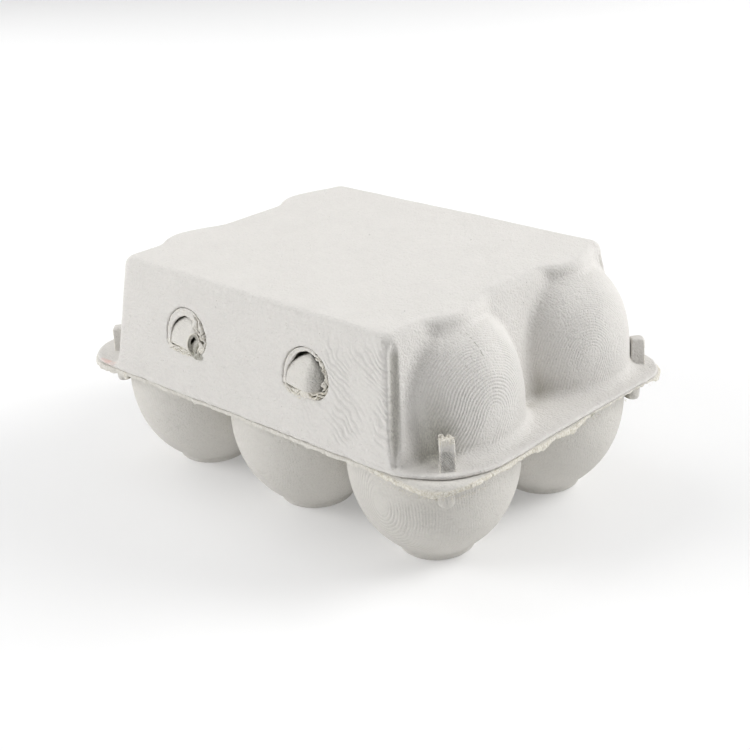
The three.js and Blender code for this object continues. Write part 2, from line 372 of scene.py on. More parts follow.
def from_front_wall(across, up, out, centre):
    """The other way round: points in the part's frame."""
    y = -FOOT_HALF[1] + up * math.sin(WALL_LEAN) - out * math.cos(WALL_LEAN)
    z = FLANGE_TOP + up * math.cos(WALL_LEAN) + out * math.sin(WALL_LEAN)
    return np.stack(np.broadcast_arrays(across + centre, y, z), axis=-1)


def arch(across, up, inset=0.0):
    """Distance from a latch hole's outline, an arch with rounded lower corners, more so on the right."""
    half = HOLE_HALF_WIDTH - inset
    round_top = np.hypot(across, up - HOLE_SPRING) - half
    corner = 4.8 + 3.4 * smooth_step(-2, 2, across)
    qa = np.abs(across) - half + corner
    qu = HOLE_BOTTOM + inset - up + corner
    lower = np.hypot(np.maximum(qa, 0), np.maximum(qu, 0)) + np.minimum(np.maximum(qa, qu), 0)
    return np.where(up > HOLE_SPRING, round_top, lower - corner)


def groove_line(sx, sy):
    """The foot, top and direction of a groove's axis, at the corner on the sides sx and sy."""
    foot_x, foot_y = (half - GROOVE_FOOT_INSET for half in FOOT_HALF)
    foot = np.array([sx * foot_x, sy * foot_y, FLANGE_TOP])
    top = np.array([sx * ROOF_HALF[0], sy * (ROOF_HALF[1] - GROOVE_FROM_CORNER), HEIGHT])
    return foot, top, (top - foot) / np.linalg.norm(top - foot)


def lid_surface():
    xs = lines(-118, (-88, 0.7), (-52, 1.0), (-21, 0.55), (23, 0.9), (54, 0.55), (78, 0.8), (118, 0.6))
    ys = lines(-79, (-56, 0.55), (56, 1.0), (79, 0.7))
    zs = lines(51.5, (58, 0.5), (70, 0.6), (94, 0.55), (107.6, 0.6))
    f = Field(xs, ys, zs)
    x, y, z = f.x, f.y, f.z
    drop = (HEIGHT - z) / (HEIGHT - FLANGE_TOP)
    half_x = ROOF_HALF[0] + (FOOT_HALF[0] - ROOF_HALF[0]) * drop
    half_y = ROOF_HALF[1] + (FOOT_HALF[1] - ROOF_HALF[1]) * drop
    corner = BOX_CORNERS[0] + (BOX_CORNERS[1] - BOX_CORNERS[0]) * drop
    side = rounded_rectangle(x, y, half_x, half_y, corner) * math.cos(WALL_LEAN)
    for cx, cy in DOMES:
        cut, bx, by, bz = f.round_about(cx, cy, NECK_RADIUS + 12)
        neck = np.hypot(bx - cx, by - cy) - NECK_RADIUS
        blend = 1.8 + 6 * smooth_step(-6, 16, by - cy)
        side[cut] = fillet_union(side[cut], neck, blend.astype(np.float32))
    body = round_cut(side, z - HEIGHT + 0.3, ROOF_EDGE)

    for cx, cy in DOMES:
        cut, bx, by, bz = f.round_about(cx, cy, DOME_RADIUS + 9)
        above = np.maximum(bz - DOME_WIDEST_Z, 0)
        dome = full_round(np.hypot(bx - cx, by - cy), above, DOME_RADIUS, DOME_RISE, DOME_FULLNESS)
        wall = (np.abs(by) - half_y[:, :, cut[2]] + 0.8) * math.cos(WALL_LEAN)
        dome = round_cut(dome, wall, 3)
        body[cut] = fillet_union(body[cut], dome, 2.2)

    flat = (f.axes[0], f.axes[1])
    edge = 0.25 * grid_noise(flat, (9, 9), 11) + 0.15 * grid_noise(flat, (2.2, 2.2), 12)
    half = [h - LID_FLANGE_INSET for h in FLANGE_HALF]
    corner = np.where((x > 0) & (y < 0), LID_FLANGE_FRONT_RIGHT_CORNER, LID_FLANGE_CORNER)
    outline = rounded_rectangle(x, y, half[0], half[1], corner) + edge[:, :, None]
    slab = round_cut(outline, z - FLANGE_TOP, 0.6)
    foot_radius = 0.5 + 4.3 * smooth_step(82, 98, np.abs(x))
    body = fillet_union(body, slab, foot_radius.astype(np.float32))

    body += 0.30 * f.noise(34, 1)
    body += 0.09 * f.noise(8, 2)

    for sx, sy in CORNER_SIDES:
        foot, top, along = groove_line(sx, sy)
        length = np.linalg.norm(top - foot) - 5
        cut, bx, by, bz = f.near(np.minimum(foot, top) - 8, np.maximum(foot, top) + 8)
        offset = [bx - foot[0], by - foot[1], bz - foot[2]]
        s = np.clip(sum(o * a for o, a in zip(offset, along)), 1.5, length)
        away = sum((o - s * a) ** 2 for o, a in zip(offset, along))
        radius = GROOVE_RADIUS * (0.45 + 0.55 * smooth_step(1, 12, s))
        radius = radius * (1 - 0.5 * smooth_step(length - 3, length, s))
        body[cut] = taken_out(body[cut], np.sqrt(away) - radius, 1.1)

    for centre in LATCH_XS:
        low = (centre - 20, -82, FLANGE_TOP + 8)
        cut, bx, by, bz = f.near(low, (centre + 20, -54, FLANGE_TOP + 46))
        across, up, out = on_front_wall(bx, by, bz, centre)
        hole = np.maximum(arch(across, up), -(out + 13))
        hollow = np.maximum(arch(across, up, -4), np.maximum(out + 2.0, -(out + 13)))
        block = taken_out(body[cut], hole, 0.3)
        body[cut] = taken_out(block, hollow, 0.3)

    body = round_cut(body, LID_BASE - z, 0.4)
    return surface_net(f.axes, np.maximum(body, z - HEIGHT))


# Half the width of a post at its foot, how much less it is at its top, and the flange round it that a
# post's mesh takes in
POST_HALF, POST_TAPER, POST_REACH = 3.25, 0.3, 5.6


def post_surface(number, height, raggedness):
    """A post about its own axis, z from the flange's top, turned so that u looks along a diagonal."""
    side = lines(-POST_REACH, (POST_REACH, 0.2))
    f = Field(side, side, lines(-1.6, (15.2, 0.22)))
    u, v, z = f.x, f.y, f.z
    size = POST_HALF - POST_TAPER * np.clip(z, 0, 20) / height
    post = rounded_rectangle(u, v, size, size, 0.9) + 0.14 * f.noise((2.5, 2.5, 3.5), 30 + number)
    for across, out in ((v, u), (v, -u), (u, v), (u, -v)):
        low = rounded_rectangle(across, z - 4.4 + 0.2 * across, size - 0.9, 4.3, 1)
        low = low + 0.5 * f.noise(1.6, 80 + number)
        dish = np.maximum(low, size - 0.45 * raggedness - out)
        post = taken_out(post, dish, 0.35)
    flat = f.axes[:2]
    spikes = np.maximum(grid_noise(flat, (0.5, 0.5), 40 + number), -0.2)
    lumps = grid_noise(flat, (2.4, 2.4), 50 + number)
    ragged = raggedness * (0.75 - 1.1 * spikes + 0.5 * lumps) + 0.2 * lumps
    post = round_cut(post, z - height + ragged[:, :, None], 0.9 - 0.75 * raggedness)
    top_end = raggedness * smooth_step(height - 4, height - 1, z)
    post = post + 0.08 * f.noise((0.5, 0.5, 1.4), 90 + number) * (0.5 + top_end)
    ground = z + 0.45 + 0 * u
    body = fillet_union(post, ground, 1.2)
    body = np.maximum(body, np.hypot(u, v) - POST_REACH + 0.5)
    return f.torn_surface(np.maximum(body, -1.3 - z))


# ---- Latches ----

# Round each latch hole, by the angle from its middle: (degrees, width of the torn band, how far its
# outer edge lies inside the hole's outline). 0 is to the right and 90 up.
RIMS = {
    "left": (
        (-180, 2.3, 0.28), (-150, 1.9, 0.1), (-120, 2.2, -0.8), (-80, 2.3, -0.8),
        (-45, 2.6, 0.1), (-20, 3.3, 0.28), (0, 4.0, 0.28), (35, 4.4, 0.28),
        (60, 4.1, 0.28), (90, 3.9, 0.28), (130, 3.7, 0.28), (180, 2.3, 0.28),
    ),
    "right": (
        (-180, 1.9, 0.28), (-152, 1.6, 0.0), (-135, 1.9, -0.9), (-110, 2.6, -1.9),
        (-76, 2.2, -0.2), (-45, 2.8, 0.2), (-15, 3.3, 0.2), (0, 3.5, 0.2), (30, 3.3, 0.2),
        (60, 2.4, 0.28), (90, 1.7, 0.28), (145, 2.9, 0.28), (180, 1.9, 0.28),
    ),
}
# How torn the bands are, at the left latch and the right
TORN_RIMS = {"left": 0.7, "right": 1.0}


def ring_surface(side, number):
    """The torn band round a latch hole, across the wall, up it and outwards."""
    tear = TORN_RIMS[side]
    f = Field(lines(-16.5, (17.5, 0.25)), lines(13.5, (40, 0.25)), lines(-3.6, (1.7, 0.25)))
    a, u, t = f.x, f.y, f.z
    degrees, widths, insets = np.array(RIMS[side]).T
    angle = np.degrees(np.arctan2(u - HOLE_SPRING, a + 0 * u))
    band = np.interp(angle, degrees, widths)
    inset = np.interp(angle, degrees, insets)
    d = arch(a, u)
    right = tear * window(-75, -45, 50, 75, angle)
    low = smooth_step(HOLE_BOTTOM + 6, HOLE_BOTTOM + 1.5, u)
    coarse = f.noise((3.6, 3.6, 9), 100 + number)
    medium = f.noise((1.3, 1.3, 3), 110 + number)
    fine = f.noise((0.5, 0.5, 0.8), 120 + number)
    width = band + (0.15 + 0.5 * right) * coarse
    width = width + (0.15 + 0.4 * right + 0.15 * low) * medium + 0.1 * fine
    gap = inset + (0.1 + 0.15 * low) * medium + 0.25 * low * coarse
    strand = np.abs(np.sin(math.pi * (d / 1.7 + 1.5 * coarse + 0.6 * medium)))
    torn_here = np.maximum(right, 0.25 * low)
    surface = -0.3 + 0.45 * low + 0.9 * right * coarse
    surface = surface + (0.1 + 0.1 * low + 0.5 * right) * medium
    surface = surface + torn_here * (0.8 * strand - 0.2 - 2.4 * smooth_step(0.5, 0.15, strand))
    ring = round_cut(d + gap, -(d + width), 0.35)
    ring = round_cut(ring, t - surface, 0.25)
    ring = round_cut(ring, -1.6 - t + 0.2 * coarse, 0.3)
    return f.torn_surface(ring + 0.1 * fine * (0.3 + low + right))


# Tongues: (half width, middle, height where it starts to narrow, rise from there to the top, how full
# its outline is, how much its top leans over, the ridge's place)
TONGUES = {
    "left": (10.1, -1.9, 22.6, 11.4, 3, 0.010, 6.2),
    "right": (9.9, -2.4, 23.2, 11.6, 2.9, 0.018, 3.6),
}
# How steeply a tongue falls away to the right of its ridge
RIDGE_SLOPE = 1.33
# The pit torn out of the left tongue, an ellipsoid: its middle and its radii
PIT = ((8.2, 23.2, 1.2), (4.4, 4.4, 1.9))


def in_pit(a, u, t):
    """Below 1 inside the pit torn out of the left tongue."""
    return np.sqrt(sum(((c - p) / r) ** 2 for c, p, r in zip((a, u, t), *PIT)))


def tongue_surface(side, number):
    """A locking tongue, a bent flap with a soft ridge; the left one has a pit torn out of it."""
    half_width, middle, spring, top_rise, fullness, lean, ridge_x = TONGUES[side]
    f = Field(lines(-13, (13, 0.28)), lines(17.2, (37.5, 0.28)), lines(-9, (4.6, 0.28)))
    a, u, t = f.x, f.y, f.z
    coarse = f.noise(5, 130 + number)
    fine = f.noise((0.8, 0.8, 0.8), 140 + number)
    rise = u - 21
    above = np.maximum(u - spring, 0)
    ridge = 2.9 - 0.12 * rise - 0.014 * rise**2
    left = ridge - 0.18 * (ridge_x - a) - 0.012 * np.maximum(-6 - a, 0) ** 2
    right = ridge - RIDGE_SLOPE * (a - ridge_x)
    front = round_cut(t - left, (t - right) / math.hypot(1, RIDGE_SLOPE), 2.2)
    half = half_width * (1 - (above / top_rise) ** fullness)
    slope = fullness * half_width * above ** (fullness - 1) / top_rise**fullness
    outline = (np.abs(a - middle - lean * above**2) - half) / np.hypot(1, slope)
    bottom = 20.2 - 0.07 * np.maximum(a - 1, 0) + 0.2 * coarse[:, :, :1] - u
    body = round_cut(front, outline + 0.12 * coarse, 1.2)
    body = round_cut(body, bottom + 0.08 * fine, 0.35)
    inner = 1.7 + 0.6 * smooth_step(3, -1, rise)
    hollow = np.maximum(np.maximum(front + inner, outline + 1.6), 19.4 - u)
    body = taken_out(body, hollow, 0.3)
    if side == "left":
        pit = (in_pit(a, u, t) - 1) * 4 + 0.4 * coarse + 0.25 * fine
        body = taken_out(body, pit, 0.25)
    body = body + 0.03 * coarse + 0.02 * fine
    return f.torn_surface(np.maximum(body, -8.6 - t))


def pit_surface():
    """The torn pulp at the bottom of the pit: a low fibrous mound with a dark split."""
    f = Field(lines(1.5, (14, 0.24)), lines(16.4, (27.5, 0.24)), lines(-5.5, (2.4, 0.24)))
    a, u, t = f.x, f.y, f.z
    coarse = f.noise((2.4, 2.4, 5), 151)
    medium = f.noise((1.1, 1.6, 2), 153)
    fine = f.noise((0.5, 0.8, 0.7), 152)
    outline = np.hypot((a - 8.2) / 4.6, (u - 20.9) / 4.1) * 4 - 4 + 0.4 * coarse
    top = 0.6 - 0.16 * (a - 8) - 0.26 * (u - 20) + 0.4 * coarse + 0.4 * medium
    body = round_cut(outline, t - top, 0.6)
    body = np.maximum(body, -5 - t)
    for lean in (-0.35, 0.35):
        leg = np.abs(a - 8.6 - lean * (22.4 - u)) - 0.3
        split = np.maximum(leg, np.abs(u - 20.9) - 1.6)
        body = taken_out(body, np.maximum(split, top - 1.6 - t), 0.1)
    return f.torn_surface(body + 0.13 * fine)


# ---- Tray ----


def tray_surface():
    xs = lines(-114, (-90, 0.8), (90, 1.0), (114, 0.8))
    ys = lines(-76, (-60, 0.8), (60, 1.0), (76, 0.8))
    zs = lines(-1.5, (7, 0.6), (38, 1.0), (54, 0.5))
    f = Field(xs, ys, zs)
    x, y, z = f.x, f.y, f.z
    outline = rounded_rectangle(x, y, FLANGE_HALF[0] - 4, FLANGE_HALF[1] - 4, FLANGE_CORNER - 4)
    slab = round_cut(outline, z - TRAY_TOP, 0.3)
    slab = round_cut(slab, TRAY_BASE - z, 0.3)
    body = np.broadcast_to(slab, (len(xs), len(ys), len(zs))).astype(np.float32).copy()

    for cx, cy in BOWLS:
        cut, bx, by, bz = f.round_about(cx, cy, BOWL_RADIUS + 7)
        radial = np.hypot(bx - cx, by - cy)
        bowl = full_round(radial, np.maximum(BOWL_WIDEST_Z - bz, 0), BOWL_RADIUS, BOWL_DEPTH, 2)
        bowl = round_cut(bowl, bz - TRAY_TOP, 0.4)
        foot = radial - FOOT_RADIUS - 1.2 * np.clip(bz / 4.5, 0, 1)
        foot = round_cut(foot, bz - 6, 0.8)
        bowl = fillet_union(bowl, foot, 1.4)
        body[cut] = fillet_union(body[cut], bowl, 3)

    body += 0.22 * f.noise(26, 3)
    body += 0.07 * f.noise(7, 4)

    for px, py in LUGS:
        cut, bx, by, bz = f.near((px - 9, py - 9, 37), (px + 9, py + 9, TRAY_TOP))
        radial = np.hypot(bx - px, by - py)
        lug = radial - LUG_TIP_RADIUS - LUG_TAPER * (bz - LUG_TIP_Z) / 11.4
        lug = round_cut(lug, LUG_TIP_Z - bz, 1.0)
        body[cut] = fillet_union(body[cut], lug, 0.5)

    return surface_net(f.axes, round_cut(body, -z, 1.1))


# The tray flange's torn edge is worked out along its outline, which is a closed line: the back left
# corner, the left end, the front left corner, the front and so on.
STRAIGHT = [FLANGE_HALF[0] - FLANGE_CORNER, FLANGE_HALF[1] - FLANGE_CORNER]
QUARTER = FLANGE_CORNER * math.pi / 2
FRONT_START = 2 * QUARTER + 2 * STRAIGHT[1]
CORNER_MIDDLE = FRONT_START + 2 * STRAIGHT[0] + QUARTER / 2
RIGHT_START = CORNER_MIDDLE + QUARTER / 2
OUTLINE_LENGTH = 4 * QUARTER + 4 * (STRAIGHT[0] + STRAIGHT[1])


def on_outline(along, outwards):
    """The place in plan at a distance along the tray flange's outline and out from it."""
    hx, hy = STRAIGHT
    stretches = (QUARTER, 2 * hy, QUARTER, 2 * hx, QUARTER, 2 * hy, QUARTER, 2 * hx)
    knots = np.concatenate([[0], np.cumsum(stretches)])
    centre_x = np.interp(along, knots, (-hx, -hx, -hx, -hx, hx, hx, hx, hx, -hx))
    centre_y = np.interp(along, knots, (hy, hy, -hy, -hy, -hy, -hy, hy, hy, hy))
    angle = np.radians(np.interp(along, knots, (90, 180, 180, 270, 270, 360, 360, 450, 450)))
    reach = FLANGE_CORNER + outwards
    return centre_x + reach * np.cos(angle), centre_y + reach * np.sin(angle)


def front_at(x):
    return FRONT_START + x + STRAIGHT[0]


def right_end_at(y):
    return RIGHT_START + y + STRAIGHT[1]


# Torn flakes of the edge: (place, half length, how far it hangs, how far the edge dips)
FLAKES = (
    (right_end_at(-17.5), 8.5, 1.5, 0.35),
    (right_end_at(0.5), 7.5, 0.7, 0.9),
    (right_end_at(15), 5.5, 0.9, 0.25),
    (front_at(-80.5), 2.2, 0.9, 0.1),
    (front_at(-31), 2.0, 0.4, 0.4),
    (front_at(40), 2.5, 0.4, 0.4),
)


def flakes(along):
    """(how far the edge dips, how far a flake hangs from it)"""
    dip = hang = 0
    for place, half, length, drop in FLAKES:
        here = bump_at(along, place, half)
        hang = hang + length * here
        dip = dip + drop * here
    return dip, hang


def deckle_surface():
    """The outer strip of the tray's flange: its torn edge, curled down most at the near corner."""
    along = np.linspace(0.05, OUTLINE_LENGTH - 0.05, round(OUTLINE_LENGTH / 0.32))
    outwards = lines(-7.6, (-2.6, 0.7), (1.6, 0.22))
    zs = lines(43.5, (49.5, 0.3), (53.3, 0.22))
    f = Field(along, outwards, zs)
    s, n, z = f.x, f.y, f.z
    near = smooth_step(CORNER_MIDDLE - 38, CORNER_MIDDLE - 6, s)
    near = near * (0.12 + 0.88 * smooth_step(CORNER_MIDDLE + 12, CORNER_MIDDLE - 2, s))
    near = near * smooth_step(right_end_at(6), right_end_at(-8), s)
    corners = 0
    last = OUTLINE_LENGTH - 2 * STRAIGHT[0] - QUARTER / 2
    for middle in (QUARTER / 2, QUARTER * 1.5 + 2 * STRAIGHT[1], last):
        corners = corners + bump_at(s, middle, 22)
    curl = near + 0.25 * corners
    wave = run_noise(f.axes[0], 13, 201)
    tear = run_noise(f.axes[0], 4.2, 202)
    notch = run_noise(f.axes[0], 1.5, 203)
    fringe = run_noise(f.axes[0], 0.7, 204)
    medium = f.noise((2.4, 1.5, 1.5), 205)
    fine = f.noise((0.7, 0.6, 0.7), 206)
    dip, hang = flakes(s)
    # Thin along the right end, and drawn down in a smooth band round the front left corner
    thin = window(*(right_end_at(y) for y in (4, 14, 56, 62)), s)
    band = window(*(front_at(x) for x in (-122, -104, -80.6, -78.6)), s)
    fall = smooth_step(-4.6, 0.6, n) ** 1.9
    drop = (0.15 + 0.15 * wave + 2.7 * curl + dip) * fall
    buried = 0.6 * smooth_step(-4.8, -6.6, n)
    edge = -0.55 + 0.15 * wave + 0.2 * tear + 0.22 * notch + 0.12 * fringe + 0.5 * curl - 0.5 * thin
    edge = edge + 0.4 * band + 0.3 * smooth_step(CORNER_MIDDLE, CORNER_MIDDLE + 12, s) * (1 - thin)
    top = TRAY_TOP - drop - buried
    base = TRAY_BASE + 0.1 * medium - drop + buried + 0.85 * thin * smooth_step(-3.5, -1.5, n)
    body = round_cut(n - edge, z - top, 0.35)
    body = round_cut(body, base - z, 0.25)
    length = hang + 1.4 * band + 0.2 * tear + 0.2 * notch + curl * (0.5 + 1.0 * wave + 0.9 * tear)
    length = length + (0.12 + 0.3 * curl) * fringe + 0.2 * curl * notch
    middle = edge - 0.55 - 0.1 * np.maximum(base - z, 0)
    ends_of_lip = np.maximum(z - base - 0.4, base - length - z)
    lip = np.maximum(np.abs(n - middle) - 0.5 - 0.12 * medium, ends_of_lip)
    body = fillet_union(body, lip, 0.35)
    at_edge = smooth_step(-2.2, -0.6, n)
    body = body + (0.06 * medium + 0.1 * fine) * at_edge
    body = np.maximum(body, np.maximum(-7.3 - n, z - TRAY_TOP - 0.25))
    ends = np.maximum(along[1] - s, s - along[-2])
    return f.torn_surface(np.maximum(body, ends))


# ---- Fibres ----


def fibres(starts, directions, lengths, thickness, seed):
    """Thin bent fibres as one mesh of tapering tubes."""
    steps, sides = 5, 4
    random = np.random.default_rng(seed)
    count = len(starts)
    directions = directions / np.linalg.norm(directions, axis=1, keepdims=True)
    bend = random.normal(size=(count, 3)) * 0.45
    across = np.cross(directions, random.normal(size=(count, 3)))
    across /= np.linalg.norm(across, axis=1, keepdims=True)
    other = np.cross(directions, across)
    rings = []
    for step in range(steps + 1):
        t = step / steps
        centre = starts + lengths[:, None] * (directions * t + bend * t * t)
        radius = 0.5 * thickness * (1 - 0.75 * t)
        for side in range(sides):
            angle = 2 * math.pi * side / sides
            rings.append(centre + radius * (across * math.cos(angle) + other * math.sin(angle)))
    vertices = np.stack(rings, axis=1).reshape(-1, 3)
    faces = []
    for step in range(steps):
        for side in range(sides):
            low, turn = step * sides, (side + 1) % sides
            faces.append((low + side, low + turn, low + sides + turn, low + sides + side))
    top = steps * sides
    faces.append((3, 2, 1, 0))
    faces.append((top, top + 1, top + 2, top + 3))
    each = (steps + 1) * sides
    faces = np.asarray(faces)[None] + each * np.arange(count)[:, None, None]
    return vertices, faces.reshape(-1, 4)


# ---- Meshes ----


MATERIALS = {}


def new_piece(name, vertices, faces, slot, attributes=()):
    """A smooth mesh piece from points in millimetres and equal-sided faces."""
    sides = faces.shape[1]
    mesh = bpy.data.meshes.new(name)
    mesh.vertices.add(len(vertices))
    mesh.vertices.foreach_set("co", (vertices * MM).astype(np.float32).ravel())
    mesh.loops.add(faces.size)
    mesh.loops.foreach_set("vertex_index", faces.astype(np.int32).ravel())
    mesh.polygons.add(len(faces))
    mesh.polygons.foreach_set("loop_start", np.arange(0, faces.size, sides, dtype=np.int32))
    mesh.polygons.foreach_set("use_smooth", np.ones(len(faces), bool))
    for key, values in dict(attributes).items():
        layer = mesh.attributes.new(key, "FLOAT", "POINT")
        layer.data.foreach_set("value", np.asarray(values, np.float32))
    mesh.update(calc_edges=True)
    mesh.validate()
    mesh.materials.append(MATERIALS[slot])
    piece = new_object(name, mesh)
    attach(piece, "root")
    return piece


# Marks of the forming mesh: nested arches or rings about a point on each dome and bowl, and slanting
# waves on the walls. Each is (point, the way arches open or None for rings, how far they reach,
# spacing, strength).
DOME_MARKS = (
    ((106.2, -36.7, 70), (0, -0.62, -1), 50, 1.45, 1.1),
    ((79, -77, 66), None, 38, 0.95, 1.0),
    ((104, 28.1, 70.3), (0, -0.5, -1), 48, 1.3, 0.6),
    ((-104, 30, 66), (0, 0.5, -1), 44, 1.5, 0.8),
    ((-104, -30, 62), (0, 0.4, -1), 40, 1.6, 0.7),
)
BOWL_MARKS = (
    ((74.8, -71.2, 34.7), None, 50, 1.4, 0.9),
    ((0, -72, 30), None, 34, 1.4, 0.35),
    ((-76, -71, 34), None, 34, 1.5, 0.35),
    ((107, 36, 30), None, 34, 1.4, 0.3),
    ((-72, 71, 32), None, 42, 1.6, 0.6),
    ((4, 71, 30), None, 42, 1.5, 0.5),
    ((70, 71, 34), None, 42, 1.5, 0.6),
    ((-107, -30, 30), None, 40, 1.5, 0.5),
)


def arc_marks(points, marks, keep):
    """(strength, phase) of nested arches or rings at each point; the strongest set wins."""
    strength = second = phase = np.zeros(len(points))
    warp = 0.9 * point_noise(points, 13, 301) + 0.3 * point_noise(points, 5, 307)
    fade = smooth_step(-0.5, 0.2, point_noise(points, 12, 302))
    for middle, opening, reach, spacing, strong in marks:
        offset = points - np.array(middle)
        distance = np.linalg.norm(offset, axis=1)
        if opening is None:
            away = np.linalg.norm(offset * (1, 1, 0.55), axis=1)
        else:
            opening = np.array(opening) / np.linalg.norm(opening)
            along = np.maximum(offset @ opening, 0)
            away = np.sqrt(np.maximum((offset**2).sum(axis=1) - along**2, 0))
        here = strong * smooth_step(reach, 0.35 * reach, distance) * keep * (0.3 + 0.7 * fade)
        here = here * smooth_step(1.5, 5, away)
        win = here > strength
        second = np.where(win, strength, np.maximum(second, here))
        strength = np.where(win, here, strength)
        phase = np.where(win, (away + 0.006 * away**2) / spacing + warp, phase)
    # No step in the phase shows, because the marks fade out where one set gives way to another
    return strength * smooth_step(0, 0.3, strength - second), phase


def wall_marks(points):
    """(strength, phase) of the slanting waves on the front and back walls."""
    x, y, z = points.T
    up = z - FLANGE_TOP
    on_wall = smooth_step(4, 2, np.abs(FOOT_HALF[1] - up * math.tan(WALL_LEAN) - np.abs(y)))
    on_wall = on_wall * smooth_step(1.5, 5, up)
    slant = np.radians(38 + 22 * smooth_step(25, 50, up))
    warp = 1.1 * point_noise(points, 12, 303) + 0.5 * point_noise(points, 4.5, 316)
    phase = (x * np.sin(slant) + up * np.cos(slant)) / 2.9 + warp
    fade = 0.2 + 0.8 * smooth_step(-0.3, 0.35, point_noise(points, 7, 304))
    near_corner = window(32, 56, 78, 96, x) * smooth_step(50, 38, up)
    return on_wall * fade * (0.2 + 1.0 * near_corner), phase


def groove_shade(points):
    """Painted shade at the bottom of the grooves."""
    shade = np.zeros(len(points))
    for sx, sy in CORNER_SIDES:
        foot, top, along = groove_line(sx, sy)
        offset = points - foot
        s = offset @ along
        offset = offset - s[:, None] * along
        deep = -(sx * offset[:, 0] + sy * offset[:, 1]) / math.sqrt(2)
        near = smooth_step(2.9, 2.3, np.linalg.norm(offset, axis=1))
        ends = smooth_step(1, 6, s) * smooth_step(0, 4, np.linalg.norm(top - foot) - 6 - s)
        shade = np.maximum(shade, near * ends * smooth_step(0.2, 1.7, deep))
    return 0.36 * shade


def corner_shade(points):
    """Painted shade in the hollows between the box, the domes and the posts."""
    shade = np.zeros(len(points))
    for sx, sy in CORNER_SIDES:
        away = (points - (sx * 91.5, sy * 58 + 2, FLANGE_TOP + 2)) * (1, 1, 0.4)
        shade = np.maximum(shade, smooth_step(13, 3, np.linalg.norm(away, axis=1)))
    return 0.6 * shade


def lid_marks(points):
    """(strength, phase) of the marks on the domes and the walls; the stronger wins."""
    x, y, z = points.T
    off_box = smooth_step(0.5, 3, np.abs(x) - (FOOT_HALF[0] - (z - FLANGE_TOP) / 7.0))
    domes = np.zeros(len(points))
    for cx, cy in DOMES:
        domes = np.maximum(domes, smooth_step(DOME_RADIUS + 3, DOME_RADIUS, np.hypot(x - cx, y - cy)))
    domes = domes * off_box * smooth_step(FLANGE_TOP + 1.5, FLANGE_TOP + 4, z)
    strength, phase = arc_marks(points, DOME_MARKS, domes)
    wall_strength, wall_phase = wall_marks(points)
    win = wall_strength > strength
    return np.where(win, wall_strength, strength), np.where(win, wall_phase, phase)


# ---- Materials ----


